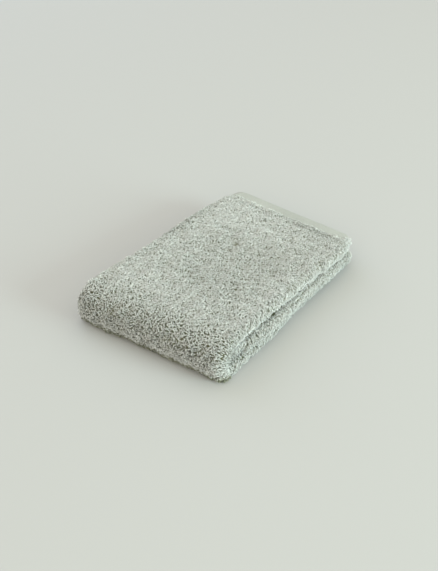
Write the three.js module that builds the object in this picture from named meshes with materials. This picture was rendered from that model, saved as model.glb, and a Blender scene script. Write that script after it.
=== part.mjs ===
// Folded face towel: one length of cotton terry cloth with a flat hem at each short end.
// It is folded in half along its length, so that every level is a hairpin of two
// thicknesses, and then in three across its length, so that one cloth runs through the
// top level, the near fold, the bottom level, the far fold and the middle level.
//
// Lengths are in millimetres. X runs across the folded towel, from the selvages to the
// lengthwise fold. Y runs from the near fold to the hem on top. Z is up, and the
// underside lies flat at Z = 0.

import * as THREE from "three";

// The cloth
const LEVEL_GAP = 0.5; // air between one level of the stack and the next
const LAYER_GAP = 0.7; // air between the two thicknesses of a level
const HEM_THICKNESS = 2.5; // one turned and sewn hem, without pile
const HEM_GAP = 1.6; // air between the two thicknesses of a hem
const HEM_WIDTH = 17;
const HEM_SINK = 0.8; // how far the hem on top lies below the middle of its level
const INSIDE_HEM_RISE = 2.2; // how far the hem inside lies above it, against the top level
const HEM_DROOP = 1.2; // how much lower a hem hangs at its free edge
const PILE_RISE = 3; // length over which the pile rises beside a hem
const EDGE_ROUNDING = 0.6; // how far a hem's free edge is rounded off

// The folds
const NEAR_REACH_ABOVE = 30; // the near fold's soft shoulder, measured along Y
const NEAR_REACH_BELOW = 15; // the tighter turn under it
const NEAR_HEIGHT = 0.45; // where the near fold reaches furthest out, as a share of the stack
const NEAR_FULLNESS = 0.25; // how much fuller the pile stands round the near fold
const FAR_REACH_INSIDE = 1; // the hollow inside the far fold
const FOLD_SQUARENESS = 2.3; // exponent of the folds' rounded outline, 2 being an ellipse
const ROLL_DEPTH = 7.5; // how far the rounding of the lengthwise fold goes in along X
const HEM_ROLL_DEPTH = 4;
const HEM_INSET = 2.5; // a hem has no pile to fill it out, so its lengthwise fold lies in

// Lines across the towel, for equal steps of X from the selvages to the lengthwise fold:
// how far the near fold reaches out, the free edge of the hem on top, how far the far
// fold reaches out, and the free edge of the hem inside
const HALF_WIDTH = 86;
const ACROSS = [
  { near: -137.1, hem: 137.6, far: 126, inside: -113 },
  { near: -137.3, hem: 136.1, far: 127.5, inside: -112 },
  { near: -135.1, hem: 134.7, far: 126.5, inside: -110.5 },
  { near: -133.7, hem: 133.3, far: 125, inside: -110 },
  { near: -132.2, hem: 132.5, far: 123.5, inside: -109 },
  { near: -131.1, hem: 131.2, far: 122.5, inside: -107.5 },
  { near: -129.9, hem: 130, far: 118.5, inside: -106.5 },
];

// Lines along the towel, for equal steps of Y from the near fold to the far end: the
// height of the stack on its two sides, and where each level's selvages and lengthwise
// fold lie
const HALF_LENGTH = 132;
const ALONG = [
  { left: 38.5, right: 39, top: [-86.8, 86.5], middle: [-84, 85], bottom: [-86.8, 88] },
  { left: 39.5, right: 38, top: [-87.5, 84.5], middle: [-85, 88], bottom: [-84.5, 87] },
  { left: 39, right: 37, top: [-85.5, 83.5], middle: [-86.5, 89], bottom: [-85, 86.5] },
  { left: 38.5, right: 35.5, top: [-86.5, 82.5], middle: [-84.5, 87], bottom: [-86, 82.5] },
  { left: 38, right: 34, top: [-88.5, 82], middle: [-85.5, 86.5], bottom: [-85, 81.7] },
  { left: 37, right: 32.5, top: [-87, 83.5], middle: [-86, 86], bottom: [-84, 81.3] },
  { left: 35.5, right: 30.5, top: [-81, 75.5], middle: [-84, 84], bottom: [-83, 79.5] },
];

// Soft swells and hollows of the stack, each with its centre, its radius and its rise
const SWELLS = [
  { x: 5, y: 15, spread: 60, rise: -1.6 },
  { x: -45, y: -70, spread: 28, rise: 1.1 },
  { x: 25, y: -85, spread: 30, rise: 0.7 },
  { x: -50, y: 95, spread: 26, rise: 0.8 },
  { x: 62, y: 40, spread: 22, rise: 0.7 },
];

// How finely the cloth is divided
const FLAT_STEPS = 9;
const ROLL_STEPS = 8;
const LEVEL_STEPS = 11;
const NEAR_FOLD_STEPS = 12;
const FAR_FOLD_STEPS = 8;
const NOSE_TURNS = [0.25, 0.5, 0.75]; // points round a selvage, as shares of a half turn

const TERRY = { color: 0xadb6a9, roughness: 0.95, metalness: 0 };

const mix = THREE.MathUtils.lerp;
const clamp = THREE.MathUtils.clamp;

// Smooth line through one column of a table, read at a share of its length
function lineThrough(rows, column) {
  const points = rows.map((row, index) => new THREE.Vector2(index, column(row)));
  const spline = new THREE.SplineCurve(points);
  return (share) => spline.getPoint(clamp(share, 0, 1)).y;
}

const shareOfWidth = (x) => (x + HALF_WIDTH) / (2 * HALF_WIDTH);
const shareOfLength = (y) => (y + HALF_LENGTH) / (2 * HALF_LENGTH);

const across = {};
for (const name of ["near", "hem", "far", "inside"]) {
  const line = lineThrough(ACROSS, (row) => row[name]);
  across[name] = (x) => line(shareOfWidth(x));
}

const leftHeight = lineThrough(ALONG, (row) => row.left);
const rightHeight = lineThrough(ALONG, (row) => row.right);
const edges = {};
for (const level of ["top", "middle", "bottom"]) {
  edges[level] = {
    selvage: lineThrough(ALONG, (row) => row[level][0]),
    fold: lineThrough(ALONG, (row) => row[level][1]),
  };
}

// Height of the whole stack at a place on the towel
function stackHeight(x, y) {
  const along = shareOfLength(y);
  let height = mix(leftHeight(along), rightHeight(along), clamp(shareOfWidth(x), 0, 1));
  for (const swell of SWELLS) {
    const distance = Math.hypot(x - swell.x, y - swell.y) / swell.spread;
    height += swell.rise * Math.exp(-distance * distance);
  }
  return height;
}

const levelThickness = (x, y) => (stackHeight(x, y) - 2 * LEVEL_GAP) / 3;

// One quarter of a fold's rounded outline: how far out and how far up or down
function quarterTurn(turn) {
  const angle = turn * Math.PI;
  const out = Math.abs(Math.sin(angle)) ** (2 / FOLD_SQUARENESS);
  const up = Math.abs(Math.cos(angle)) ** (2 / FOLD_SQUARENESS);
  return { out, up: turn <= 0.5 ? up : -up };
}

// The three levels and the two folds between them, in the cloth's own order. Each gives
// the place of a point from its share of the way along, its X and its depth, which is 0 on
// the face that looks into the stack and 1 on the face that looks out of it.
const farReach = (thickness) => FAR_REACH_INSIDE + thickness;

function nearFoldStart(x, reach) {
  return across.near(x) + reach;
}

function farFoldStart(x) {
  const far = across.far(x);
  return far - farReach(levelThickness(x, far));
}

function onTop(y, x, depth) {
  const thickness = levelThickness(x, y);
  return { y, z: stackHeight(x, y) - thickness * (1 - depth) };
}

function onMiddle(y, x, depth) {
  const thickness = levelThickness(x, y);
  return { y, z: thickness + LEVEL_GAP + thickness * depth };
}

function onBottom(y, x, depth) {
  const thickness = levelThickness(x, y);
  return { y, z: thickness * (1 - depth) };
}

function onNearFold(share, x, depth) {
  const { out, up } = quarterTurn(share);
  const above = nearFoldStart(x, NEAR_REACH_ABOVE);
  const below = nearFoldStart(x, NEAR_REACH_BELOW);
  const height = mix(stackHeight(x, above), stackHeight(x, below), share);
  const thickness = mix(levelThickness(x, above), levelThickness(x, below), share);
  const fullness = 1 + NEAR_FULLNESS * Math.sin(share * Math.PI);
  const buried = thickness * fullness * (1 - depth);
  const middle = height * NEAR_HEIGHT;
  const rise = share <= 0.5 ? height - middle : middle;
  const reach = share <= 0.5 ? NEAR_REACH_ABOVE : NEAR_REACH_BELOW;
  const y = across.near(x) + reach - out * (reach - buried);
  return { y, z: middle + up * (rise - buried) };
}

function onFarFold(share, x, depth) {
  const { out, up } = quarterTurn(share);
  const start = farFoldStart(x);
  const thickness = levelThickness(x, start);
  const middle = thickness + LEVEL_GAP / 2;
  const reach = FAR_REACH_INSIDE + thickness * depth;
  return { y: start + out * reach, z: middle - up * (LEVEL_GAP / 2 + thickness * depth) };
}

// Share of the pile's full height at a distance from a hem's free edge
function pileShare(distance) {
  return THREE.MathUtils.smoothstep(distance, HEM_WIDTH, HEM_WIDTH + PILE_RISE);
}

// Distances from a hem's free edge at which the cloth is divided
const HEM_END = HEM_WIDTH + PILE_RISE;
const HEM_STATIONS = [
  0,
  EDGE_ROUNDING,
  HEM_WIDTH * 0.55,
  HEM_WIDTH,
  HEM_WIDTH + PILE_RISE * 0.5,
  HEM_END,
];

// Stations along the cloth. place finds a point from its X and depth, levels and blend say
// whose side edges it has, edge is its distance to a free edge, sink is how far a hem lies
// below the middle of its level, and droop how much lower still it hangs at its free edge.
const equalShares = (steps) => Array.from({ length: steps }, (_, step) => step / steps);

function besideHem(level, onLevel, line, inward, sink) {
  return HEM_STATIONS.map((distance) => ({
    levels: [level, level],
    blend: 0,
    edge: distance,
    sink,
    droop: HEM_DROOP * (1 - distance / HEM_END) ** 2,
    place: (x, depth) => onLevel(line(x) + inward * distance, x, depth),
  }));
}

function alongLevel(level, onLevel, from, to) {
  return equalShares(LEVEL_STEPS).map((share) => ({
    levels: [level, level],
    blend: 0,
    place: (x, depth) => onLevel(mix(from(x), to(x), share), x, depth),
  }));
}

function roundFold(levels, onFold, steps) {
  return equalShares(steps).map((share) => ({
    levels,
    blend: share,
    place: (x, depth) => onFold(share, x, depth),
  }));
}

const topHemEnd = (x) => across.hem(x) - HEM_END;
const insideHemEnd = (x) => across.inside(x) + HEM_END;
const shoulder = (x) => nearFoldStart(x, NEAR_REACH_ABOVE);
const heel = (x) => nearFoldStart(x, NEAR_REACH_BELOW);

const STATIONS = [
  ...besideHem("top", onTop, across.hem, -1, HEM_SINK),
  ...alongLevel("top", onTop, topHemEnd, shoulder).slice(1),
  ...roundFold(["top", "bottom"], onNearFold, NEAR_FOLD_STEPS),
  ...alongLevel("bottom", onBottom, heel, farFoldStart),
  ...roundFold(["bottom", "middle"], onFarFold, FAR_FOLD_STEPS),
  ...alongLevel("middle", onMiddle, farFoldStart, insideHemEnd),
  ...besideHem("middle", onMiddle, across.inside, 1, -INSIDE_HEM_RISE).toReversed(),
];

// Section of the cloth in which it is carried along: across one thickness from the
// selvage, round the lengthwise fold and back. A row has its share of the flat part and
// its side, which is 1 on the thickness that looks out of the stack, or its turn of the fold.
const flatShares = equalShares(FLAT_STEPS).map((share) => (1 - Math.cos(share * Math.PI)) / 2);
const rollTurns = [...equalShares(ROLL_STEPS), 1];
const SECTION = [
  ...flatShares.map((flat) => ({ flat, side: 1 })),
  ...rollTurns.map((turn) => ({ flat: 1, turn })),
  ...flatShares.toReversed().map((flat) => ({ flat, side: -1 })),
];

// Closed outline of the section at one station: the outer faces of both thicknesses, the
// rounded selvage of the inner one, the faces they turn to each other, and the rounded
// selvage of the outer one
function outlineAt({ levels, blend, place, edge = Infinity, sink = 0, droop = 0 }) {
  const bare = 1 - pileShare(edge);
  const rounding = edge === 0 ? EDGE_ROUNDING : 0;
  const along = shareOfLength(place(0, 0.5).y);
  const [from, to] = levels.map((level) => edges[level]);
  const selvage = mix(from.selvage(along), to.selvage(along), blend);
  const fold = mix(from.fold(along), to.fold(along), blend) - HEM_INSET * bare;
  const rollDepth = mix(ROLL_DEPTH, HEM_ROLL_DEPTH, bare);
  const halfGap = mix(LAYER_GAP, HEM_GAP, bare) / 2;
  const sunk = sink * bare + droop;

  const fullThickness = (x) => levelThickness(x, place(x, 0.5).y);
  const halfThickness = (x) => mix(fullThickness(x) / 2, HEM_THICKNESS + HEM_GAP / 2, bare);
  const layer = (x) => halfThickness(x) - halfGap;
  const at = (x, aboveMiddle) => {
    const { y, z } = place(x, 0.5 + (aboveMiddle - sunk) / fullThickness(x));
    return [x, y, z];
  };

  const outer = [];
  const inner = [];
  const noseRadius = layer(selvage) / 2;
  for (const { flat, side, turn } of SECTION) {
    const x = mix(selvage + noseRadius, fold - rollDepth, flat);
    const { out, up } = turn === undefined ? { out: 0, up: side } : quarterTurn(turn);
    const hollow = Math.max(rollDepth - layer(x), halfGap) + rounding;
    outer.push(at(x + out * rollDepth, up * (halfThickness(x) - rounding)));
    inner.push(at(x + out * hollow, up * (halfGap + rounding)));
  }
  const nose = (side) =>
    NOSE_TURNS.map((turn) => {
      const out = Math.sin(turn * Math.PI) * noseRadius;
      const up = Math.cos(turn * Math.PI) * (noseRadius - rounding);
      return at(selvage + noseRadius - out, side * (halfGap + noseRadius + up));
    });
  return [...outer, ...nose(-1), ...inner.toReversed(), ...nose(1).toReversed()];
}

// Triangles that close a section at a free edge, as a strip between its outer faces and
// the faces they hide, with a fan in each rounded selvage
function capTriangles() {
  const rows = SECTION.length;
  const noses = NOSE_TURNS.length;
  const facing = (index) => 2 * rows + noses - 1 - index;
  const triangles = [];
  for (let index = 0; index + 1 < rows; index += 1) {
    triangles.push([index, index + 1, facing(index + 1)]);
    triangles.push([index, facing(index + 1), facing(index)]);
  }
  for (let index = 0; index < noses; index += 1) {
    triangles.push([facing(rows - 1), rows - 1 + index, rows + index]);
    triangles.push([0, facing(0) + index, facing(0) + index + 1]);
  }
  return triangles;
}

// The cloth: its outline at every station joined to the next one, and closed at each hem
function clothGeometry() {
  const outlines = STATIONS.map(outlineAt);
  const size = outlines[0].length;
  const faces = [];
  for (let ring = 0; ring + 1 < outlines.length; ring += 1) {
    for (let index = 0; index < size; index += 1) {
      const a = ring * size + index;
      const b = ring * size + ((index + 1) % size);
      faces.push(a, b + size, b, a, a + size, b + size);
    }
  }
  const lastRing = (outlines.length - 1) * size;
  for (const [a, b, c] of capTriangles()) {
    faces.push(a, b, c);
    faces.push(lastRing + a, lastRing + c, lastRing + b);
  }
  const geometry = new THREE.BufferGeometry();
  geometry.setAttribute("position", new THREE.Float32BufferAttribute(outlines.flat(2), 3));
  geometry.setIndex(faces);
  geometry.computeVertexNormals();
  return geometry;
}

const towel = new THREE.Mesh(clothGeometry(), new THREE.MeshStandardMaterial(TERRY));
towel.name = "towel";

const foldedTowel = new THREE.Group();
foldedTowel.add(towel);

export default foldedTowel;
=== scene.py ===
# Folded face towel of cotton terry cloth, folded in half along its length and then in
# three, seen from above the corner where its near fold meets its lengthwise fold.
# Lengths are in metres. X runs across the folded towel, from the selvages to the
# lengthwise fold. Y runs from the near fold to the hem on top, and Z is up.

import math

import bpy
import numpy as np
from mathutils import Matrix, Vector


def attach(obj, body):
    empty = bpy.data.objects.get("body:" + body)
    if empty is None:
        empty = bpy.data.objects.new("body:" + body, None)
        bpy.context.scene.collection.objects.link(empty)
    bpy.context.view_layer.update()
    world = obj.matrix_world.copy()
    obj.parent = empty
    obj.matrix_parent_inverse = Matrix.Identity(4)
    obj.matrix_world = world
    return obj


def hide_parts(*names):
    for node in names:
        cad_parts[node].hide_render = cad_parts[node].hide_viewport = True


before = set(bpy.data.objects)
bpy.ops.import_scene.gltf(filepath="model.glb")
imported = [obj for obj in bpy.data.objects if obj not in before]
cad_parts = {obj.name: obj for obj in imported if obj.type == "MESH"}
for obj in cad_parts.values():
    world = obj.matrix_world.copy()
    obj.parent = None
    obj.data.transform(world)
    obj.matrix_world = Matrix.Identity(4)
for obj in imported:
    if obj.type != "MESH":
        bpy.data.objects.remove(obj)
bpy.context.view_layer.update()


# Camera
# A 50 mm lens about half a metre up, looking down on the towel past the corner where its
# near fold meets its lengthwise fold.

CAMERA_PLACE = (0.4065, -0.555, 0.485)
CAMERA_TURN = math.radians(37)
CAMERA_DIP = math.radians(35)
CAMERA_LENS = 50
CAMERA_SENSOR = 36

camera = bpy.data.objects.new("camera", bpy.data.cameras.new("camera"))
camera.data.lens = CAMERA_LENS
camera.data.sensor_width = CAMERA_SENSOR
camera.location = CAMERA_PLACE
camera.rotation_euler = (math.pi / 2 - CAMERA_DIP, 0, CAMERA_TURN)
bpy.context.scene.collection.objects.link(camera)
bpy.context.scene.camera = camera


# Ground cloth
# One length of cotton with a plain ground weave, on which the pile stands, and a flat
# turned hem at each short end. It is woven with the pile, cut, hemmed, and then folded
# by hand: in half along its length, and across its length in three.

LEVEL_GAP = 0.0005  # air between one level of the stack and the next
LAYER_GAP = 0.0007  # air between the two thicknesses of a level
HEM_THICKNESS = 0.0025  # one turned and sewn hem, without pile
HEM_GAP = 0.0016  # air between the two thicknesses of a hem
HEM_WIDTH = 0.017
HEM_SINK = 0.0008  # how far the hem on top lies below the middle of its level
INSIDE_HEM_RISE = 0.0022  # how far the hem inside lies above it, against the top level
HEM_DROOP = 0.0012  # how much lower a hem hangs at its free edge
PILE_RISE = 0.003  # length over which the pile rises beside a hem
HEM_END = HEM_WIDTH + PILE_RISE

NEAR_REACH_ABOVE = 0.030  # the near fold's soft shoulder, measured along Y
NEAR_REACH_BELOW = 0.015  # the tighter turn under it
NEAR_HEIGHT = 0.45  # where the near fold reaches furthest out, as a share of the stack
NEAR_FULLNESS = 0.25  # how much fuller the pile stands round the near fold
FAR_REACH_INSIDE = 0.001  # the hollow inside the far fold
FOLD_SQUARENESS = 2.3  # exponent of the folds' rounded outline, 2 being an ellipse
ROLL_DEPTH = 0.0075  # how far the rounding of the lengthwise fold goes in along X
HEM_ROLL_DEPTH = 0.004
HEM_INSET = 0.0045  # a hem has no pile to fill it out, so its lengthwise fold lies in
HEM_CORNER = 0.008  # radius of the rounding where a hem meets a selvage
FOLD_CORNER = 0.5  # how far the fold's end of a hem is rounded, as a share of that

# Lines across the towel, for equal steps of X from the selvages to the lengthwise fold:
# how far the near fold reaches out, the free edge of the hem on top, how far the far
# fold reaches out, and the free edge of the hem inside
HALF_WIDTH = 0.086
ACROSS = {
    "near": (-0.1371, -0.1373, -0.1351, -0.1337, -0.1322, -0.1311, -0.1299),
    "hem": (0.1376, 0.1361, 0.1347, 0.1333, 0.1325, 0.1312, 0.13),
    "far": (0.126, 0.1275, 0.1265, 0.125, 0.1235, 0.1225, 0.1185),
    "inside": (-0.113, -0.112, -0.1105, -0.11, -0.109, -0.1075, -0.1065),
}

# Lines along the towel, for equal steps of Y from the near fold to the far end: the
# height of the stack on its two sides, and each level's selvages and lengthwise fold
HALF_LENGTH = 0.132
ALONG = {
    "left": (0.0385, 0.0395, 0.039, 0.0385, 0.038, 0.037, 0.0355),
    "right": (0.039, 0.038, 0.037, 0.0355, 0.034, 0.0325, 0.0305),
    "top selvage": (-0.0868, -0.0875, -0.0855, -0.0865, -0.0885, -0.087, -0.081),
    "top fold": (0.0865, 0.0845, 0.0835, 0.0825, 0.082, 0.0845, 0.077),
    "middle selvage": (-0.084, -0.085, -0.0865, -0.0845, -0.0855, -0.086, -0.084),
    "middle fold": (0.085, 0.088, 0.089, 0.087, 0.0865, 0.086, 0.084),
    "bottom selvage": (-0.0868, -0.0845, -0.085, -0.086, -0.085, -0.084, -0.083),
    "bottom fold": (0.088, 0.087, 0.0865, 0.0825, 0.0817, 0.0813, 0.0795),
}

# Soft swells and hollows of the stack: centre X, centre Y, radius and rise
SWELLS = (
    (0.005, 0.015, 0.060, -0.0016),
    (-0.045, -0.070, 0.028, 0.0011),
    (0.025, -0.085, 0.030, 0.0007),
    (-0.050, 0.095, 0.026, 0.0008),
    (0.062, 0.040, 0.022, 0.0007),
)

# The cloth's path from the hem on top to the hem inside, in seven parts of length 1:
# hem, top level, near fold, bottom level, far fold, middle level, hem
TOP_LEVEL, NEAR_FOLD, BOTTOM_LEVEL, FAR_FOLD, MIDDLE_LEVEL, INSIDE_HEM = range(1, 7)
PATH_END = 7

# The section across it, in three parts of length 1: the thickness that looks out of the
# stack, from its selvage, then the roll of the lengthwise fold, then the other thickness
OUTER_HALF, ROLL, INNER_HALF = range(3)
SECTION_END = 3

PATH_STEPS = (14, 44, 18, 44, 10, 44, 14)  # divisions of each part of the path
SECTION_STEPS = (26, 12, 26)  # divisions of each part of the section
MIDDLE = 0.5  # the middle of a thickness, of a level or of a part of the path
WEAVE_SHARE = 0.24  # thickness of the ground weave, as a share of one thickness with pile
HEM_SHARE = 0.96  # the same where the hem is turned over on itself
SELVAGE_REACH = 0.0022  # how far the woven selvage stands out beside the pile
SELVAGE_WIDTH = 0.035  # how wide it is without pile, in parts of the section


def mix(start, end, share):
    """Value at a share of the way from start to end."""
    return start + (end - start) * share


def line_through(values):
    """Reader of a smooth line through values at equal steps. Between two values it is the
    cubic whose slope at each of them is half the difference of that value's neighbours."""
    values = np.array(values, float)
    last = len(values) - 1

    def read(share):
        place = np.clip(share, 0, 1) * last
        start = np.minimum(place.astype(int), last - 1)
        part = place - start
        before, here, after, beyond = (
            values[np.clip(start + step, 0, last)] for step in (-1, 0, 1, 2)
        )
        slope, next_slope = (after - before) / 2, (beyond - here) / 2
        cube = 2 * (here - after) + slope + next_slope
        square = 3 * (after - here) - 2 * slope - next_slope
        return ((cube * part + square) * part + slope) * part + here

    return read


across_lines = {name: line_through(values) for name, values in ACROSS.items()}
along_lines = {name: line_through(values) for name, values in ALONG.items()}


def across(name, x):
    """Y of a line across the towel at X."""
    return across_lines[name]((x + HALF_WIDTH) / (2 * HALF_WIDTH))


def along(name, y):
    """Height or X of a line along the towel at Y."""
    return along_lines[name]((y + HALF_LENGTH) / (2 * HALF_LENGTH))


def stack_height(x, y):
    """Height of the whole stack: the two sides' heights mixed by X, and for each swell its
    rise times the bell curve of the distance from its centre."""
    share = np.clip((x + HALF_WIDTH) / (2 * HALF_WIDTH), 0, 1)
    height = mix(along("left", y), along("right", y), share)
    for centre_x, centre_y, radius, rise in SWELLS:
        distance = np.hypot(x - centre_x, y - centre_y) / radius
        height = height + rise * np.exp(-(distance**2))
    return height


def level_thickness(x, y):
    """Thickness of one level: a third of the stack without its two gaps."""
    return (stack_height(x, y) - 2 * LEVEL_GAP) / 3


def fold_outline(turn):
    """How far out and how far up a rounded fold lies at a share of its half turn: sine and
    cosine, each raised to two over the fold's squareness."""
    angle = turn * np.pi
    out = np.abs(np.sin(angle)) ** (2 / FOLD_SQUARENESS)
    up = np.abs(np.cos(angle)) ** (2 / FOLD_SQUARENESS)
    return out, np.where(turn <= MIDDLE, up, -up)


def path_place(path, x, depth):
    """Y and Z on the path at X. Depth is 0 on the face that looks into the stack and 1 on
    the face that looks out of it. On the levels Y is mixed between the ends of the level.
    Round the near fold it is the fold's reach less what the pile buries, and round the far
    fold a half turn about the middle between two levels."""
    part = np.clip(np.floor(path), 0, PATH_END - 1)
    share = path - part
    start_above = across("near", x) + NEAR_REACH_ABOVE
    start_below = across("near", x) + NEAR_REACH_BELOW
    far = across("far", x)
    start_far = far - FAR_REACH_INSIDE - level_thickness(x, far)
    hem_end = across("hem", x) - HEM_END
    inside_end = across("inside", x) + HEM_END
    y = np.select(
        [part == 0, part == TOP_LEVEL, part == BOTTOM_LEVEL, part == MIDDLE_LEVEL],
        [
            across("hem", x) - HEM_END * share,
            mix(hem_end, start_above, share),
            mix(start_below, start_far, share),
            mix(start_far, inside_end, share),
        ],
        inside_end - HEM_END * share,
    )
    thickness = level_thickness(x, y)
    z = np.select(
        [part <= TOP_LEVEL, part == BOTTOM_LEVEL],
        [stack_height(x, y) - thickness * (1 - depth), thickness * (1 - depth)],
        thickness * (1 + depth) + LEVEL_GAP,
    )

    out, up = fold_outline(share)
    height = mix(stack_height(x, start_above), stack_height(x, start_below), share)
    turning = mix(level_thickness(x, start_above), level_thickness(x, start_below), share)
    fullness = 1 + NEAR_FULLNESS * np.sin(share * np.pi)
    buried = turning * fullness * (1 - depth)
    middle = height * NEAR_HEIGHT
    upper = share <= MIDDLE
    reach = np.where(upper, NEAR_REACH_ABOVE, NEAR_REACH_BELOW)
    near_y = across("near", x) + reach - out * (reach - buried)
    near_z = middle + up * (np.where(upper, height - middle, middle) - buried)

    thickness = level_thickness(x, start_far)
    far_y = start_far + out * (FAR_REACH_INSIDE + thickness * depth)
    far_z = thickness + LEVEL_GAP / 2 - up * (LEVEL_GAP / 2 + thickness * depth)
    folds = [part == NEAR_FOLD, part == FAR_FOLD]
    return np.select(folds, [near_y, far_y], y), np.select(folds, [near_z, far_z], z)


def side_line(path, side, y):
    """X of a side edge at Y, which on the two folds is mixed between the levels it joins."""
    top, middle, bottom = (along(f"{level} {side}", y) for level in ("top", "middle", "bottom"))
    part = np.floor(path)
    return np.select(
        [path <= NEAR_FOLD, part == NEAR_FOLD, part == BOTTOM_LEVEL, part == FAR_FOLD],
        [top, mix(top, bottom, path - part), bottom, mix(bottom, middle, path - part)],
        middle,
    )


def corner_inset(path):
    """How far a hem's rounded corner draws the selvage in: a quarter circle's gap to its
    square, over the last stretch before the hem's free edge."""
    distance = HEM_END * np.minimum(path, PATH_END - path)
    near = np.clip(1 - distance / HEM_CORNER, 0, 1)
    return HEM_CORNER * (1 - np.sqrt(1 - near**2))


def bare_share(path):
    """1 on a hem and 0 on the pile, by a smooth step beside it."""
    distance = HEM_END * np.minimum(path, PATH_END - path)
    step = np.clip((distance - HEM_WIDTH) / PILE_RISE, 0, 1)
    return 1 - step * step * (3 - 2 * step)


def cloth_place(path, section, layer, piled=False):
    """Points of the cloth as rows of X, Y and Z. Layer is 0 on the face of a thickness that
    its other half hides and 1 on its outer face. X runs from the selvage to the roll, the
    roll is a half turn about the middle of the level, and the rest is the path's place.
    Piled takes the hems as if they had pile too."""
    path, section, layer = np.broadcast_arrays(path, section, layer)
    bare = bare_share(path) * (not piled)
    sink = np.where(path < PATH_END / 2, HEM_SINK, -INSIDE_HEM_RISE)
    droop = HEM_DROOP * np.clip(1 - np.minimum(path, PATH_END - path), 0, 1) ** 2
    centre_y = path_place(path, np.zeros(path.shape), MIDDLE)[0]
    inset = corner_inset(path)
    selvage = side_line(path, "selvage", centre_y) + inset
    fold = side_line(path, "fold", centre_y) - HEM_INSET * bare - inset * FOLD_CORNER
    roll_depth = mix(ROLL_DEPTH, HEM_ROLL_DEPTH, bare)
    half_gap = mix(LAYER_GAP, HEM_GAP, bare) / 2

    def full_thickness(x):
        return level_thickness(x, path_place(path, x, MIDDLE)[0])

    def half_thickness(x):
        return mix(full_thickness(x) / 2, HEM_THICKNESS + HEM_GAP / 2, bare)

    start = selvage + (half_thickness(selvage) - half_gap) / 2
    flat = np.where(section > INNER_HALF, SECTION_END - section, np.minimum(section, ROLL))
    x = mix(start, fold - roll_depth, flat)
    turn = np.clip(section - ROLL, 0, 1)
    out, up = fold_outline(turn)
    on_roll = (section > ROLL) & (section < INNER_HALF)
    out = np.where(on_roll, out, 0)
    up = np.where(on_roll, up, np.where(section <= ROLL, 1, -1))
    thickness = half_thickness(x) - half_gap
    hollow = np.maximum(roll_depth - thickness, half_gap)
    above = up * (half_gap + thickness * layer) - sink * bare - droop
    x = x + out * (hollow + (roll_depth - hollow) * layer)
    y, z = path_place(path, x, MIDDLE + above / full_thickness(x))
    return np.stack([x, y, z], -1)


def steps_of(counts, eased=()):
    """Places at equal steps in each part of length 1, or eased by a cosine to lie closer
    together at both ends of the part."""
    places = []
    for part, count in enumerate(counts):
        share = np.arange(count) / count
        if part in eased:
            share = (1 - np.cos(share * np.pi)) / 2
        places.append(part + share)
    return np.append(np.concatenate(places), len(counts))


def lengths_of(points):
    """Length along a row of points from its first one to each."""
    return np.append(0, np.cumsum(np.linalg.norm(np.diff(points, axis=0), axis=1)))


def piece_from(name, points, faces, material, uv_maps):
    """Mesh object at the origin from arrays of points and triangles or quads, smooth, with
    one material and with UV maps given for every corner of its faces."""
    mesh = bpy.data.meshes.new(name)
    sides = faces.shape[1]
    mesh.vertices.add(len(points))
    mesh.vertices.foreach_set("co", points.astype(np.float32).ravel())
    mesh.loops.add(faces.size)
    mesh.loops.foreach_set("vertex_index", faces.astype(np.int32).ravel())
    mesh.polygons.add(len(faces))
    mesh.polygons.foreach_set("loop_start", np.arange(len(faces), dtype=np.int32) * sides)
    mesh.update(calc_edges=True)
    mesh.shade_smooth()
    for map_name, corners in uv_maps.items():
        uv_map = mesh.uv_layers.new(name=map_name)
        uv_map.uv.foreach_set("vector", corners.astype(np.float32).ravel())
    mesh.materials.append(material)
    piece = bpy.data.objects.new(name, mesh)
    bpy.context.scene.collection.objects.link(piece)
    return piece


def point_values(piece, name, values):
    """Gives each point of a piece a named value that its material reads."""
    attribute = piece.data.attributes.new(name, "FLOAT", "POINT")
    attribute.data.foreach_set("value", values.astype(np.float32))


def grid_faces(rows, columns):
    """Quads of a grid of points, each as its four point numbers."""
    first = (np.arange(rows - 1)[:, None] * columns + np.arange(columns - 1)).ravel()
    return np.stack([first, first + 1, first + columns + 1, first + columns], 1)


def strip_faces(edge, other):
    """Quads that join two edges of equal length."""
    return np.stack([edge[:-1], edge[1:], other[1:], other[:-1]], 1)


PANEL_ENDS = (0.01, 0.99)  # how far down the bake square a panel goes


def panel_corners(rows, columns, left, width):
    """Places in the bake square of the corners of a grid's quads, the grid laid out flat
    as an upright panel."""
    over = np.linspace(left, left + width, columns)
    down = np.linspace(*PANEL_ENDS, rows)
    places = np.stack(np.meshgrid(over, down), -1).reshape(-1, 2)
    return places[grid_faces(rows, columns)]


def new_material(name):
    """Empty material with a Principled shader, and its node tree and shader."""
    material = bpy.data.materials.new(name)
    material.use_nodes = True
    tree = material.node_tree
    return material, tree, tree.nodes["Principled BSDF"]


def add_node(tree, kind, **settings):
    """New node with its settings."""
    node = tree.nodes.new(kind)
    for setting, value in settings.items():
        setattr(node, setting, value)
    return node


def new_group(name, inputs, outputs):
    """Empty shader node group with its named inputs, each a kind and a value, and outputs."""
    group = bpy.data.node_groups.new(name, "ShaderNodeTree")
    for socket_name, (kind, value) in inputs.items():
        socket = group.interface.new_socket(socket_name, in_out="INPUT", socket_type=kind)
        socket.default_value = value
    for socket_name, kind in outputs.items():
        group.interface.new_socket(socket_name, in_out="OUTPUT", socket_type=kind)
    entry = group.nodes.new("NodeGroupInput")
    leave = group.nodes.new("NodeGroupOutput")
    return group, entry, leave


def placed_group(tree, group, **values):
    """Node that uses a group in a material, with the values of its inputs."""
    node = add_node(tree, "ShaderNodeGroup", node_tree=group)
    for socket_name, value in values.items():
        node.inputs[socket_name.replace("_", " ")].default_value = value
    return node


# The two noises of a dyed tone: scale, detail, and the input that says how much it does
DYE_NOISES = ((22, 3, "Patches"), (420, 2, "Yarns"))
NOISE_MIDDLE = 0.5


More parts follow.
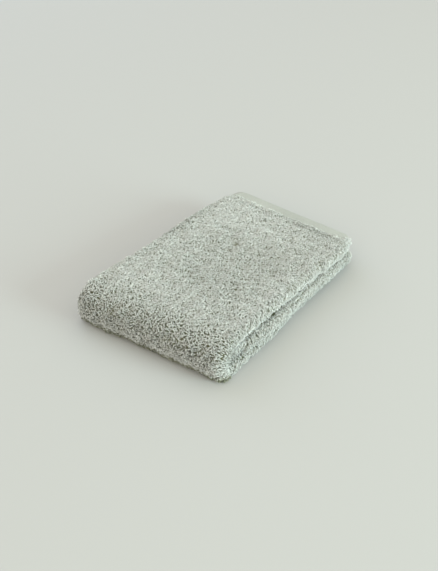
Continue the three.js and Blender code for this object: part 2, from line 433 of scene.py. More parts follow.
def dyed_cotton():
    """Node group for the tone of dyed cotton. A colour is made lighter and darker by two
    soft noises, one as wide as a hand's touch and one as fine as single yarns: its
    brightness is 1 plus each noise, less its middle, times its amount."""
    inputs = {
        "Colour": ("NodeSocketColor", (0.5, 0.5, 0.5, 1)),
        "Patches": ("NodeSocketFloat", 0.1),
        "Yarns": ("NodeSocketFloat", 0.1),
    }
    group, entry, leave = new_group("dyed cotton", inputs, {"Colour": "NodeSocketColor"})
    place = add_node(group, "ShaderNodeTexCoord")
    value = None
    for scale, detail, amount in DYE_NOISES:
        noise = add_node(group, "ShaderNodeTexNoise")
        noise.inputs["Scale"].default_value = scale
        noise.inputs["Detail"].default_value = detail
        group.links.new(place.outputs["Object"], noise.inputs["Vector"])
        centred = add_node(group, "ShaderNodeMath", operation="SUBTRACT")
        centred.inputs[1].default_value = NOISE_MIDDLE
        group.links.new(noise.outputs["Fac"], centred.inputs[0])
        weighed = add_node(group, "ShaderNodeMath", operation="MULTIPLY_ADD")
        group.links.new(centred.outputs[0], weighed.inputs[0])
        group.links.new(entry.outputs[amount], weighed.inputs[1])
        weighed.inputs[2].default_value = 1
        if value is not None:
            group.links.new(value, weighed.inputs[2])
        value = weighed.outputs[0]
    toned = add_node(group, "ShaderNodeHueSaturation")
    group.links.new(entry.outputs["Colour"], toned.inputs["Color"])
    group.links.new(value, toned.inputs["Value"])
    group.links.new(toned.outputs["Color"], leave.inputs["Colour"])
    return group


def plain_weave():
    """Node group for the bump of a plain weave: a round knuckle of yarn at each crossing of
    warp and weft. Its height is the product of two sine waves, one along each direction of
    the weave map, without its sign."""
    inputs = {
        "Yarns per metre": ("NodeSocketFloat", 900.0),
        "Strength": ("NodeSocketFloat", 0.5),
        "Depth": ("NodeSocketFloat", 0.0004),
    }
    outputs = {"Height": "NodeSocketFloat", "Normal": "NodeSocketVector"}
    group, entry, leave = new_group("plain weave", inputs, outputs)
    place = add_node(group, "ShaderNodeUVMap", uv_map="weave")
    scaled = add_node(group, "ShaderNodeVectorMath", operation="SCALE")
    group.links.new(place.outputs["UV"], scaled.inputs[0])
    group.links.new(entry.outputs["Yarns per metre"], scaled.inputs["Scale"])
    split = add_node(group, "ShaderNodeSeparateXYZ")
    group.links.new(scaled.outputs[0], split.inputs[0])
    waves = []
    for axis in ("X", "Y"):
        turn = add_node(group, "ShaderNodeMath", operation="MULTIPLY")
        turn.inputs[1].default_value = math.pi
        group.links.new(split.outputs[axis], turn.inputs[0])
        wave = add_node(group, "ShaderNodeMath", operation="SINE")
        group.links.new(turn.outputs[0], wave.inputs[0])
        waves.append(wave.outputs[0])
    crossing = add_node(group, "ShaderNodeMath", operation="MULTIPLY")
    group.links.new(waves[0], crossing.inputs[0])
    group.links.new(waves[1], crossing.inputs[1])
    height = add_node(group, "ShaderNodeMath", operation="ABSOLUTE")
    group.links.new(crossing.outputs[0], height.inputs[0])
    bump = add_node(group, "ShaderNodeBump")
    group.links.new(height.outputs[0], bump.inputs["Height"])
    group.links.new(entry.outputs["Strength"], bump.inputs["Strength"])
    group.links.new(entry.outputs["Depth"], bump.inputs["Distance"])
    group.links.new(height.outputs[0], leave.inputs["Height"])
    group.links.new(bump.outputs["Normal"], leave.inputs["Normal"])
    return group


COTTON_TONE = dyed_cotton()
PLAIN_WEAVE = plain_weave()
WEAVE_COLOUR = (0.425, 0.432, 0.45, 1)
WEAVE_ROUGHNESS = 0.9
ROOT_SHADE_COLOUR = (0.19, 0.2, 0.13, 1)  # painted shade of the cloth under the pile and of a loop's foot, where the loops shade each other
COTTON_SHEEN = 0.25
COTTON_SHEEN_COLOUR = (0.93, 1.0, 0.94, 1)
COTTON_SHEEN_ROUGHNESS = 0.5
COTTON_SHINE = 0.2
MIX_SHARE, MIX_FIRST, MIX_SECOND, MIX_RESULT = 0, 6, 7, 2  # a Mix node's colour sockets


def cotton_shader(shader, roughness):
    """Sets the even values of a cotton finish on the shader itself."""
    shader.inputs["Roughness"].default_value = roughness
    shader.inputs["Sheen Weight"].default_value = COTTON_SHEEN
    shader.inputs["Sheen Roughness"].default_value = COTTON_SHEEN_ROUGHNESS
    shader.inputs["Sheen Tint"].default_value = COTTON_SHEEN_COLOUR
    shader.inputs["Specular IOR Level"].default_value = COTTON_SHINE


def cotton_tone(tree, values_name, full_colour, patches, yarns):
    """Node with a dyed tone that goes from the painted shade of the roots to the full colour as
    the piece's point values of that name go from 0 to 1."""
    share = add_node(tree, "ShaderNodeAttribute", attribute_name=values_name)
    blend = add_node(tree, "ShaderNodeMix", data_type="RGBA")
    blend.inputs[MIX_FIRST].default_value = ROOT_SHADE_COLOUR
    blend.inputs[MIX_SECOND].default_value = full_colour
    tree.links.new(share.outputs["Fac"], blend.inputs[MIX_SHARE])
    tone = placed_group(tree, COTTON_TONE, Patches=patches, Yarns=yarns)
    tree.links.new(blend.outputs[MIX_RESULT], tone.inputs["Colour"])
    return tone


def woven_cotton():
    """Material of the flat woven cotton: pale on the bare hems and selvages, and dark with the
    painted shade of the loops' roots where the pile stands on it."""
    material, tree, shader = new_material("woven cotton")
    cotton_shader(shader, WEAVE_ROUGHNESS)
    tone = cotton_tone(tree, "bare", WEAVE_COLOUR, patches=0.3, yarns=0.2)
    tree.links.new(tone.outputs["Colour"], shader.inputs["Base Color"])
    weave = placed_group(tree, PLAIN_WEAVE, Yarns_per_metre=1100, Strength=0.6)
    tree.links.new(weave.outputs["Normal"], shader.inputs["Normal"])
    return material


# Left side and width of the panels that the two faces of the cloth and the four strips
# along its edges fill in the bake square
FACE_PANELS = ((0.005, 0.47), (0.485, 0.47))
STRIP_PANELS = ((0.964, 0.007), (0.973, 0.007), (0.982, 0.007), (0.991, 0.007))


def ground_cloth():
    """The cloth without its pile, as one closed sheet: a grid on each face of it, and strips
    that join the two at the selvages and hems. A face lies half the weave's thickness, or
    half a hem's, from the middle of its own thickness of cloth."""
    path = steps_of(PATH_STEPS)
    section = steps_of(SECTION_STEPS, eased=(OUTER_HALF, INNER_HALF))
    outward = SELVAGE_REACH / (2 * HALF_WIDTH)
    section[0] -= outward
    section[-1] += outward
    half = mix(WEAVE_SHARE, HEM_SHARE, bare_share(path))[:, None] / 2
    both_sides = [
        cloth_place(path[:, None], section[None, :], MIDDLE + side * half) for side in (1, -1)
    ]
    rows, columns = len(path), len(section)
    numbers = np.arange(2 * rows * columns).reshape(2, rows, columns)
    outer, inner = numbers
    quads = grid_faces(rows, columns)
    faces = np.concatenate(
        [
            quads[:, ::-1],
            quads + rows * columns,
            strip_faces(outer[:, 0], inner[:, 0])[:, ::-1],
            strip_faces(outer[:, -1], inner[:, -1]),
            strip_faces(outer[0], inner[0]),
            strip_faces(outer[-1], inner[-1])[:, ::-1],
        ]
    )
    points = np.concatenate([side.reshape(-1, 3) for side in both_sides])

    # The weave map's yarns are counted along one row of the top level and one column of the
    # outer thickness, and lie straight between them
    top_row, outer_column = rows // 4, columns // 5
    down = lengths_of(both_sides[0][:, outer_column])
    over = lengths_of(both_sides[0][top_row])
    weave = np.stack(np.meshgrid(over, down), -1).reshape(-1, 2)
    weave = np.concatenate([weave, weave])
    outer_panel, inner_panel = (panel_corners(rows, columns, *panel) for panel in FACE_PANELS)
    strips = [
        panel_corners(count, 2, *panel)
        for count, panel in zip((rows, rows, columns, columns), STRIP_PANELS)
    ]
    bake = np.concatenate([outer_panel[:, ::-1], inner_panel, *strips])
    maps = {"weave": weave[faces], "OFBake": bake}
    piece = piece_from("ground_cloth", points, faces, woven_cotton(), maps)
    # Under the pile the cloth takes the painted shade of the loops' roots, and on the hems and
    # beside the selvages its own pale colour
    from_selvage = np.minimum(section, SECTION_END - section)
    selvage = np.clip(1 - from_selvage / SELVAGE_WIDTH, 0, 1)
    bare = np.maximum(bare_share(path)[:, None], selvage)
    point_values(piece, "bare", np.tile(bare.ravel(), 2))
    return piece


ground = ground_cloth()
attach(ground, "root")
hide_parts("towel")


# Pile
# Terry loops of soft, loosely twisted cotton yarn, standing on both faces of the ground
# cloth. They are woven in with slack warp ends, and after washing they lean and curl.

LOOP_REACH = 0.0012  # half the length of the yarn that lies on top of the pile
LOOP_REACHES = (0.8, 1.2)  # least and most of it in one loop, as shares
LOOP_FOOT = 0.3  # how wide a loop's two feet stand, as a share of that
LOOP_HEAD = 1.7  # how much wider the yarn goes above them, likewise
LOOP_RISE_POWER = 0.4  # power of the sine by which a loop rises, low for steep sides
LOOP_BEND = 0.0009  # how far its top bends to one side
LOOP_LEAN = 0.0010  # how far its top leans from its feet
LOOP_LEANS = (0.2, 1)  # least and most of it in one loop, as shares
LOOP_UNEVENNESS = 0.0004  # how much higher or lower it stands than its neighbours
OPEN_UNEVENNESS = 0.0009  # the same on the folds, where the cloth bends and the pile opens
OPEN_REACH = 0.85  # how much of the yarn on top of the pile shows there
LOOP_TURNS = np.array([0, 0.26, 0.5, 0.74, 1])  # points along a loop, in half turns
HIDDEN_TURNS = np.array([0, 0.33, 0.67, 1])  # the same where hardly anything shows
YARN_RADIUS = 0.00035
YARN_RADII = (0.85, 1.15)  # least and most of it in one loop, as shares
YARN_SIDES = 3
ROOT_LAYER = 0.58  # where a loop leaves the ground cloth, as a share of one thickness
PRESSED = 0.0004  # how softly the floor presses the lowest loops flat
COURSE_STEP = 0.002  # the short step along the path or the section that gives its direction

LUMP_WAVES = 28
LUMP_LENGTHS = (0.008, 0.026)
LUMP_RISE = 0.0005
ROLL_LUMP_RISE = 0.00045  # the same on the rolls of the lengthwise fold
ROLL_TURN = 0.6  # how far a loop on a roll turns from lying across it, in radians
ROLL_UNEVENNESS = 0.5  # how much more uneven the loops are on the rolls

# The near fold rests on the floor with its weight, and the loops at its foot get a painted contact
# shadow
FOLD_FOOT_HEIGHT = 0.0056  # height of its foot above the floor
FOLD_FOOT_PAINTED_SHADOW = 1.0  # how far the loops there take the roots' painted shade, as the painted contact shadow
FOLD_FOOT_FULLNESS = 0.75  # how much further out they stand, pushed out by the weight, which carries the painted shadow out over the floor

# Where a hand has brushed the pile flat it looks smooth, and there it is painted lighter, with
# less painted shade at the loops' feet
BRUSHED_PAINTED_LIGHT = 0.6  # how far the painted shade at the roots is taken away, as painted light
BRUSHED_EVENNESS = 0.6  # how much more even the loops are
BRUSHED_REACH = 0.2  # how much more of the yarn shows
TOP_ROLL_BRUSHED_AND_LIT = 0.6  # how flat the pile lies on the roll of the top level, and how much painted light it gets
LOW_ROLL_BRUSHED_AND_LIT = 0.5  # the same on the rolls under it, where they look up

# How the pile lies on top: centre X and Y, reach along X and Y, and an amount, which is
# above 0 where the pile is brushed flat and painted lighter, and below 0 where it is
# ruffled and open and gets painted shade
PILE_LIE = (
    (-0.040, -0.086, 0.055, 0.020, 1.0),
    (0.030, -0.092, 0.030, 0.016, 0.3),
    (-0.055, 0.085, 0.040, 0.045, 1.0),
    (0.010, 0.070, 0.035, 0.022, 0.6),
    (-0.060, 0.000, 0.016, 0.080, 0.5),
    (0.079, 0.000, 0.014, 0.150, 1.0),
    (-0.088, 0.028, 0.012, 0.058, -1.6),
    (0.052, 0.109, 0.040, 0.008, -0.8),
    (0.000, 0.118, 0.120, 0.0025, -0.8),
    (-0.030, 0.113, 0.050, 0.005, -0.4),
    (0.010, -0.042, 0.045, 0.018, -0.3),
    (0.010, 0.030, 0.050, 0.050, -0.2),
    (0.020, -0.122, 0.050, 0.010, -0.4),
)

# How the pile is taken to look up: the slope of a share over the upward part of the
# loops' direction, and the share where that is 0
LIE_UP = (1.6, -0.2)  # for the amounts above
FLAT_UP = (2.6, -1.2)  # for what counts as flat on top
# On the rolls under the top one, the parts that look up get painted light and the parts that look
# down get painted shade
ROLL_UP = (1.2, 0.5)  # on the rolls

PILE_COLOUR = (0.748, 0.764, 0.812, 1)
PILE_ROUGHNESS = 0.95
SHADES = (0.90, 1.08)  # how much one loop differs in tone from the next
OPEN_PAINTED_SHADE = 0.45  # how much darker a loop can be by chance where the pile is open, as painted shade

# Seeds of the random draws. The number of a piece is added to the last three.
LUMP_SEED, PLACE_SEED, LOOP_SEED, START_SEED = 7, 100, 200, 300


def looks_up(up, slope, level):
    """How far directions look up, from 0 to 1: a slope times their upward part, plus the
    share where that is 0."""
    return np.clip(slope * up[:, 2:] + level, 0, 1)


def lie_on_top(points, up):
    """How flat the pile lies and how much painted light it gets, and how open it is and how much
    painted shade it gets: the sum of the bell curves of the places above, on the parts of the
    cloth that look up, split into its parts above and below 0."""
    share = np.zeros((len(points), 1))
    for centre_x, centre_y, reach_x, reach_y, amount in PILE_LIE:
        over = (points[:, :1] - centre_x) / reach_x
        beyond = (points[:, 1:2] - centre_y) / reach_y
        share += amount * np.exp(-(over**2) - beyond**2)
    share *= looks_up(up, *LIE_UP)
    return np.clip(share, 0, 1), np.clip(-share, 0, 1)


def pile_lie(path, section, head, up):
    """How the pile lies at each place, as shares from 0 to 1: on a roll, brushed flat and
    painted lighter, open, in painted shade, on a flat part that looks up, and at the foot of
    the near fold, where it gets a painted contact shadow. All that isn't flat is open, and open
    pile gets painted shade. The roll of the top level is painted lighter; of the rolls only
    the lower ones get painted shade, where they look down, and where they look up they are
    painted lighter. The foot's share is e to the minus fourth power of the height over the
    foot's."""
    on_roll = ((section > ROLL) & (section < INNER_HALF))[:, None]
    top_roll = on_roll & (path < NEAR_FOLD)[:, None]
    near_fold = ((path > NEAR_FOLD) & (path < BOTTOM_LEVEL))[:, None]
    upward = looks_up(up, *ROLL_UP)
    flat = looks_up(up, *FLAT_UP) * ~on_roll
    brushed_and_lit, ruffled_and_shaded = lie_on_top(head, up)
    brushed_and_lit = np.maximum(brushed_and_lit, TOP_ROLL_BRUSHED_AND_LIT * top_roll)
    brushed_and_lit = np.maximum(brushed_and_lit, LOW_ROLL_BRUSHED_AND_LIT * upward * (on_roll & ~top_roll))
    opened = np.maximum(ruffled_and_shaded, 1 - flat)
    painted_shade = opened * ~top_roll * (1 - upward * on_roll)
    foot = np.exp(-((head[:, 2:] / FOLD_FOOT_HEIGHT) ** 4)) * near_fold
    return on_roll, brushed_and_lit, opened, painted_shade, flat, foot


def lumps(points, seed):
    """Uneven rise of the pile: a sum of plane waves in random directions, divided by the
    square root of half their number."""
    rng = np.random.default_rng(seed)
    directions = rng.normal(size=(LUMP_WAVES, 3))
    directions /= np.linalg.norm(directions, axis=1, keepdims=True)
    lengths = rng.uniform(*LUMP_LENGTHS, LUMP_WAVES)
    phases = rng.uniform(0, 2 * np.pi, LUMP_WAVES)
    waves = np.sin(points @ (directions / lengths[:, None] * 2 * np.pi).T + phases)
    return waves.sum(1) / math.sqrt(LUMP_WAVES / 2)


SCATTER = 0.42  # how far a loop is moved at most from its place in the net, in steps
FINE_STEPS = 400  # steps in each part, for the lengths along the path and the section
fine_path = np.linspace(0, PATH_END, FINE_STEPS * PATH_END + 1)
path_lengths = lengths_of(cloth_place(fine_path, OUTER_HALF + MIDDLE, 1))
fine_section = np.linspace(0, SECTION_END, FINE_STEPS * SECTION_END + 1)
section_lengths = lengths_of(cloth_place(TOP_LEVEL + MIDDLE, fine_section, 1))


def scattered(path_range, section_range, spacing, seed):
    """Places on the cloth as path and section: the points of a triangular net of that
    spacing over the outer face, each moved by chance by up to nearly half a step."""
    rng = np.random.default_rng(seed)
    low, high = np.interp(path_range, fine_path, path_lengths)
    left, right = np.interp(section_range, fine_section, section_lengths)
    row_step = spacing * math.sqrt(3) / 2
    down = np.arange(low, high, row_step)
    over = np.arange(left, right, spacing)
    down, over = np.meshgrid(down, over, indexing="ij")
    over = over + (np.arange(len(down)) % 2)[:, None] * spacing / 2
    moves = rng.uniform(-SCATTER, SCATTER, (2, down.size)) * spacing
    down = down.ravel() + moves[0]
    over = over.ravel() + moves[1]
    inside = (over < right) & (down < high) & (down > low) & (over > left)
    path = np.interp(down[inside], path_lengths, fine_path)
    section = np.interp(over[inside], section_lengths, fine_section)
    return path, section


def unit(vectors):
    """Vectors made one long."""
    return vectors / np.linalg.norm(vectors, axis=-1, keepdims=True)


# How a length of yarn lies in its cell of the bake square: from where to where along it and
# round it, and its two ends as fans of triangles, with their width, the first one's corner,
# and how far along the other lies
YARN_ALONG = (0.12, 0.88)
YARN_ROUND = (0.08, 0.92)
END_WIDTH = 0.07
END_CORNER = (0.02, 0.1)
OTHER_END = (0.88, 0)


def tubes(name, line, deep, radius, sides, material):
    """Short closed lengths of yarn, all of one shape of mesh. Round each point of a line lies
    a ring of so many sides, square to the line's course there and turned by the direction
    given as deep. What would go below the floor is pressed flat: a height becomes half the
    sum of itself and the root of its square plus the square of the pressed depth. In the
    bake square each length of yarn is unrolled in a cell of its own."""
    count, rings = line.shape[:2]
    course = unit(np.gradient(line, axis=1))
    first = unit(np.cross(course, deep[:, None]))
    second = np.cross(course, first)
    angle = np.arange(sides) * 2 * np.pi / sides
    ring = np.cos(angle)[:, None] * first[:, :, None] + np.sin(angle)[:, None] * second[:, :, None]
    points = line[:, :, None] + radius[:, None, None] * ring
    points[..., 2] = (points[..., 2] + np.sqrt(points[..., 2] ** 2 + PRESSED**2)) / 2

    step, side = np.indices((rings - 1, sides)).reshape(2, -1)
    corner = step * sides + side
    beyond = step * sides + (side + 1) % sides
    fan = np.arange(1, sides - 1)
    none = fan * 0
    last = (rings - 1) * sides
    triangles = np.concatenate(
        [
            np.stack([corner, beyond, beyond + sides], 1),
            np.stack([corner, beyond + sides, corner + sides], 1),
            np.stack([none, fan + 1, fan], 1),
            np.stack([none, fan, fan + 1], 1) + last,
        ]
    )
    faces = (np.arange(count)[:, None, None] * rings * sides + triangles).reshape(-1, 3)

    here, ahead = (mix(*YARN_ALONG, place / (rings - 1)) for place in (step, step + 1))
    low, high = (mix(*YARN_ROUND, place / sides) for place in (side, side + 1))
    end = [none, (fan - 1) / sides, none + END_WIDTH, fan / sides, none, fan / sides]
    end = np.stack(end, 1).reshape(-1, 3, 2) + END_CORNER
    unrolled = np.concatenate(
        [
            np.stack([here, low, here, high, ahead, high], 1).reshape(-1, 3, 2),
            np.stack([here, low, ahead, high, ahead, low], 1).reshape(-1, 3, 2),
            end,
            end + OTHER_END,
        ]
    )
    cells = math.ceil(math.sqrt(count))
    cell = np.stack([np.arange(count) % cells, np.arange(count) // cells], 1)
    bake = (cell[:, None, None] + unrolled) / cells
    return piece_from(name, points.reshape(-1, 3), faces, material, {"OFBake": bake})


def pile_piece(name, path, section, layer, fullness, piled, turns, seed, material):
    """Loops of yarn at these places. Along its own width a loop's point lies at minus the
    cosine of the turn times a foot width plus a head width times the sine, it rises by a
    power of the sine, and its top bends aside by the square of the sine. On the rolls the
    loops lie across the edge, and elsewhere in all directions. A loop gets painted shade at
    its feet and none at its top. Its feet get less of it where the pile is brushed and painted
    lighter, all of it gets the painted contact shadow at the near fold's foot, and where open
    pile gets painted shade it is darker by the square of a chance."""
    rng = np.random.default_rng(seed)
    root = cloth_place(path, section, mix(1 - ROOT_LAYER, ROOT_LAYER, layer))
    head = cloth_place(path, section, layer, piled)
    up = unit(head - root)
    ahead = cloth_place(path + COURSE_STEP, section, layer, piled) - head
    ahead = unit(ahead - (ahead * up).sum(1, keepdims=True) * up)
    beside = np.cross(up, ahead)
    on_roll, brushed_and_lit, opened, painted_shade, flat, foot = pile_lie(path, section, head, up)

    def spread(low, high):
        return rng.uniform(low, high, (len(path), 1))

    across_roll = np.pi / 2 + spread(-ROLL_TURN, ROLL_TURN)
    turned = np.where(on_roll, across_roll, spread(0, 2 * np.pi))
    wide = np.cos(turned) * ahead + np.sin(turned) * beside
    deep = np.cross(up, wide)
    lean_way = spread(0, 2 * np.pi)
    lean = (np.cos(lean_way) * ahead + np.sin(lean_way) * beside) * LOOP_LEAN
    evenness = 1 - BRUSHED_EVENNESS * brushed_and_lit
    uneven = mix(LOOP_UNEVENNESS * evenness, OPEN_UNEVENNESS, opened) * spread(-1, 1)
    uneven = uneven * (1 + ROLL_UNEVENNESS * on_roll)
    lump_rise = np.where(on_roll, ROLL_LUMP_RISE, LUMP_RISE)
    rise = up * (lumps(head, LUMP_SEED)[:, None] * lump_rise + uneven)
    fullness = fullness * (1 + FOLD_FOOT_FULLNESS * foot)
    rise = (head - root) * fullness + rise + lean * spread(*LOOP_LEANS)
    shown = mix(1 + BRUSHED_REACH * brushed_and_lit, OPEN_REACH, 1 - flat)
    reach = LOOP_REACH * spread(*LOOP_REACHES) * shown
    bend = LOOP_BEND * spread(-1, 1)

    turn = turns[None, :, None] * np.pi
    line = (
        root[:, None]
        - np.cos(turn) * (LOOP_FOOT + LOOP_HEAD * np.sin(turn)) * (wide * reach)[:, None]
        + np.sin(turn) ** LOOP_RISE_POWER * rise[:, None]
        + np.sin(turn) ** 2 * (deep * bend)[:, None]
    )
    piece = tubes(name, line, deep, YARN_RADIUS * spread(*YARN_RADII), YARN_SIDES, material)
    # Painted shade: a loop's feet are darker than its top, where the loops shade each other
    height = np.repeat(np.sin(turns * np.pi) ** LOOP_RISE_POWER, YARN_SIDES)
    unshaded = mix(height, 1, BRUSHED_PAINTED_LIGHT * brushed_and_lit) * (1 - FOLD_FOOT_PAINTED_SHADOW * foot)
    point_values(piece, "unshaded", unshaded.ravel())
    # Each loop differs in tone by chance, and where open pile gets painted shade it is darker
    # still
    tone_and_shade = spread(*SHADES) * (1 - OPEN_PAINTED_SHADE * painted_shade * spread(0, 1) ** 2)
    point_values(piece, "tone_and_shade", np.repeat(tone_and_shade, len(height)))
    return piece


def terry_pile():
    """Material of the loops: dyed cotton with painted shade at the foot of a loop and none at
    its head, a little different from loop to loop, and darker by chance where open pile gets
    painted shade."""
    material, tree, shader = new_material("terry pile")
    cotton_shader(shader, PILE_ROUGHNESS)
    tone = cotton_tone(tree, "unshaded", PILE_COLOUR, patches=0.12, yarns=0.25)
    tone_and_shade = add_node(tree, "ShaderNodeAttribute", attribute_name="tone_and_shade")
    varied = add_node(tree, "ShaderNodeHueSaturation")
    tree.links.new(tone.outputs["Colour"], varied.inputs["Color"])
    tree.links.new(tone_and_shade.outputs["Fac"], varied.inputs["Value"])
    tree.links.new(varied.outputs["Color"], shader.inputs["Base Color"])
    return material


# How far apart the loops stand, the closer the more they show
TOP_SPACING = 0.00162
FOLD_SPACING = 0.00176
EDGE_SPACING = 0.0024
HIDDEN_SPACING = 0.0042

MARGIN = 0.055  # how far the loops go in beside a selvage, in parts of the section
OPENING = 0.01  # how far they stay out of the crevices between the rolls, likewise
UNDER_ROLL = 0.03  # how far they go in under the lowest roll, likewise
HEM_BACK = 0.93  # where on the section they start beside the roll of the hem inside
POCKET = 0.14  # how far they go in under the near fold, in parts of the section
POCKET_FULLNESS = 1.5  # how much longer they stand in there, where nothing presses on them
MIDDLE_ROLL_FULLNESS = 1.2  # the same on the roll of the middle level
HEM_FULLNESS = 3.2  # the same on the hem inside, where they fill out its lengthwise fold

# Where the pile starts on a hem, as a place on the path for a place on the section, and how
# unevenly it does, along the path
PILE_STARTS = ((0, 0.95), (0.8, 0.9), (0.97, 0.8), (1.1, 0.45), (1.5, 0.35))
START_RAGGEDNESS = 0.05

# Places on the path where pieces of the pile start and end. The top is split to keep each
# of its pieces light.
TOP_START = 0.4
TOP_SPLITS = (TOP_LEVEL + 0.37, TOP_LEVEL + 0.69)
TOP_ROLL_START = 0.15
EDGE_START = 0.7
POCKET_START = TOP_LEVEL + 0.88
POCKET_END = BOTTOM_LEVEL + 0.14
NEAR_FOLD_END = BOTTOM_LEVEL + 0.07
MIDDLE_ROLL_END = INSIDE_HEM + 0.1
HEM_ROLL_END = INSIDE_HEM + 0.97
EDGE_END = INSIDE_HEM + 0.14

# Ranges of the section: one outer face, that face and its roll, what shows of each roll,
# the roll of the hem inside, the pocket, and the strips beside the selvages
OUTER_FACE = (OUTER_HALF, ROLL)
FACE_AND_ROLL = (OUTER_HALF, INNER_HALF)
TOP_ROLL = (ROLL, INNER_HALF - OPENING)
MIDDLE_ROLL = (ROLL + OPENING, INNER_HALF - OPENING)
BOTTOM_ROLL = (ROLL - UNDER_ROLL, INNER_HALF - OPENING)
HEM_ROLL = (HEM_BACK, INNER_HALF - OPENING)
POCKET_FACE = (INNER_HALF, INNER_HALF + POCKET)
OUTER_MARGIN = (OUTER_HALF, MARGIN)
INNER_MARGIN = (SECTION_END - MARGIN, SECTION_END)

# Name, range of the path, range of the section, layer, spacing, fullness, and whether the
# loops on a hem rise to the face that the pile has beside it
PILE_PIECES = (
    ("pile_top_far", (TOP_START, TOP_SPLITS[0]), OUTER_FACE, 1, TOP_SPACING, 1, True),
    ("pile_top_middle", TOP_SPLITS, OUTER_FACE, 1, TOP_SPACING, 1, True),
    ("pile_top_near", (TOP_SPLITS[1], NEAR_FOLD), OUTER_FACE, 1, TOP_SPACING, 1, True),
    ("pile_near_fold", (NEAR_FOLD, NEAR_FOLD_END), FACE_AND_ROLL, 1, FOLD_SPACING, 1, True),
    ("pile_roll_top", (TOP_ROLL_START, NEAR_FOLD), TOP_ROLL, 1, FOLD_SPACING, 1, True),
    ("pile_roll_bottom", (NEAR_FOLD_END, FAR_FOLD), BOTTOM_ROLL, 1, FOLD_SPACING, 1, True),
    ("pile_pocket", (POCKET_START, POCKET_END), POCKET_FACE, 1, FOLD_SPACING,
     POCKET_FULLNESS, True),
    ("pile_far_fold", (FAR_FOLD, MIDDLE_LEVEL), FACE_AND_ROLL, 1, EDGE_SPACING, 1, True),
    ("pile_roll_middle", (MIDDLE_LEVEL, MIDDLE_ROLL_END), MIDDLE_ROLL, 1, FOLD_SPACING,
     MIDDLE_ROLL_FULLNESS, True),
    ("pile_roll_hem", (MIDDLE_ROLL_END, HEM_ROLL_END), HEM_ROLL, 1, FOLD_SPACING,
     HEM_FULLNESS, False),
    ("pile_underside", (NEAR_FOLD_END, FAR_FOLD), OUTER_FACE, 1, HIDDEN_SPACING, 1, True),
    ("pile_edge_middle", (MIDDLE_LEVEL, EDGE_END), OUTER_MARGIN, 1, EDGE_SPACING, 1, True),
    ("pile_edge_in", (EDGE_START, EDGE_END), INNER_MARGIN, 1, EDGE_SPACING, 1, True),
    ("pile_edge_hidden", (EDGE_START, EDGE_END), OUTER_MARGIN, 0, EDGE_SPACING, 1, True),
    ("pile_edge_hidden_in", (EDGE_START, EDGE_END), INNER_MARGIN, 0, EDGE_SPACING, 1, True),
)
pile_material = terry_pile()
for number, row in enumerate(PILE_PIECES):
    name, path_range, section_range, layer, spacing, fullness, piled = row
    path, section = scattered(path_range, section_range, spacing, PLACE_SEED + number)
    starts = np.interp(np.minimum(section, SECTION_END - section), *zip(*PILE_STARTS))
    ragged = np.random.default_rng(START_SEED + number).uniform(-1, 1, len(path))
    has_pile = path > starts + START_RAGGEDNESS * ragged
    path, section = path[has_pile], section[has_pile]
    turns = LOOP_TURNS if spacing <= FOLD_SPACING else HIDDEN_TURNS
    seed = LOOP_SEED + number
    piece = pile_piece(name, path, section, layer, fullness, piled, turns, seed, pile_material)
    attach(piece, "root")


# Hem stitches
# A row of lockstitches in cotton thread on both faces of each hem, close to the pile,
# sewn by machine through the turned cloth.

STITCHES = 56  # in one row across the folded towel
STITCH_PLACE = 0.76  # where a row lies on the hem's part of the path
STITCH_ROWS = ((0.02, 0.98), (2.02, 2.98))  # from where to where on the section
STITCH_REACH = 0.00115  # half the length of thread that shows
STITCH_RISE = 0.0002  # how far it stands up from the hem, and goes in at its ends
STITCH_STEPS = np.array([-1, -0.5, 0.5, 1])  # points along a stitch, in reaches
STITCH_RISES = np.array([-1, 1, 1, -1])  # and their heights, in rises
THREAD_RADIUS = 0.00024
THREAD_SIDES = 6
THREAD_COLOUR = (0.52, 0.56, 0.51, 1)
THREAD_ROUGHNESS = 0.8


def stitch_lines(path, section_range):
    """Middle lines of one row of stitches, and the direction along the cloth square to them.
    Each stitch goes along the row, up by its rise in the middle and down at its ends."""
    section = np.linspace(*section_range, STITCHES)
    place = cloth_place(path, section, 1)
    outward = unit(place - cloth_place(path, section, 0))
    course = unit(cloth_place(path, section + COURSE_STEP, 1) - place)
    steps = STITCH_STEPS[None, :, None] * STITCH_REACH
    rises = STITCH_RISES[None, :, None] * STITCH_RISE
    line = place[:, None] + course[:, None] * steps + outward[:, None] * rises
    return line, np.cross(outward, course)


def sewing_thread():
    """Material of the thread, a tone lighter than the hem."""
    material, tree, shader = new_material("sewing thread")
    cotton_shader(shader, THREAD_ROUGHNESS)
    tone = placed_group(tree, COTTON_TONE, Colour=THREAD_COLOUR, Patches=0.1, Yarns=0.15)
    tree.links.new(tone.outputs["Colour"], shader.inputs["Base Color"])
    return material


rows = [
    stitch_lines(path, section_range)
    for path in (STITCH_PLACE, PATH_END - STITCH_PLACE)
    for section_range in STITCH_ROWS
]
line, deep = (np.concatenate(part) for part in zip(*rows))
thread = np.full((len(line), 1), THREAD_RADIUS)
stitches = tubes("hem_stitches", line, deep, thread, THREAD_SIDES, sewing_thread())
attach(stitches, "root")


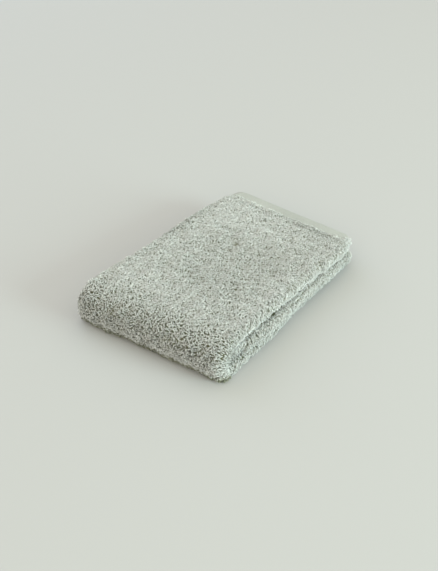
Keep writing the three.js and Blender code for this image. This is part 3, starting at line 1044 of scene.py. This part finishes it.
# Floor and light
# A pale matt surface that runs out of view, in a bright room. A window lights the towel low
# from the side of its lengthwise fold, the sky from the side of its selvages, and the room
# from before its near fold.

FLOOR_HALF = 4
FLOOR_COLOUR = (0.512, 0.516, 0.566, 1)
FLOOR_ROUGHNESS = 0.9
ROOM_COLOUR = (1.0, 0.978, 0.775, 1)
ROOM_STRENGTH = 0.95
LIGHT_TARGET = Vector((0, 0, 0.02))  # the middle of the towel

# Name, place, size, power and colour of each soft light
LIGHTS = (
    ("window", (3.0, 0.4, 0.7), 1.4, 92, (0.76, 1.0, 0.88)),
    ("sky", (-2.8, 0.9, 1.9), 3.0, 30, (0.55, 0.74, 1.0)),
    ("room", (2.5, -4.4, 1.9), 4.0, 80, (1.0, 0.92, 0.72)),
)

floor_mesh = bpy.data.meshes.new("floor")
corners = [(-FLOOR_HALF, -FLOOR_HALF, 0), (FLOOR_HALF, -FLOOR_HALF, 0)]
corners += [(FLOOR_HALF, FLOOR_HALF, 0), (-FLOOR_HALF, FLOOR_HALF, 0)]
floor_mesh.from_pydata(corners, [], [(0, 1, 2, 3)])
floor = bpy.data.objects.new("floor", floor_mesh)
bpy.context.scene.collection.objects.link(floor)
floor_material, _, floor_shader = new_material("matt floor")
floor_shader.inputs["Base Color"].default_value = FLOOR_COLOUR
floor_shader.inputs["Roughness"].default_value = FLOOR_ROUGHNESS
floor_mesh.materials.append(floor_material)

world = bpy.data.worlds.new("soft room")
world.use_nodes = True
world.node_tree.nodes["Background"].inputs["Color"].default_value = ROOM_COLOUR
world.node_tree.nodes["Background"].inputs["Strength"].default_value = ROOM_STRENGTH
bpy.context.scene.world = world

for name, place, size, power, colour in LIGHTS:
    light = bpy.data.lights.new(name, "AREA")
    light.size = size
    light.energy = power
    light.color = colour
    lamp = bpy.data.objects.new(name, light)
    lamp.location = place
    direction = LIGHT_TARGET - Vector(place)
    lamp.rotation_euler = direction.to_track_quat("-Z", "Y").to_euler()
    bpy.context.scene.collection.objects.link(lamp)

# Colours are shown as they are, without the softening of a film
bpy.context.scene.view_settings.view_transform = "Standard"
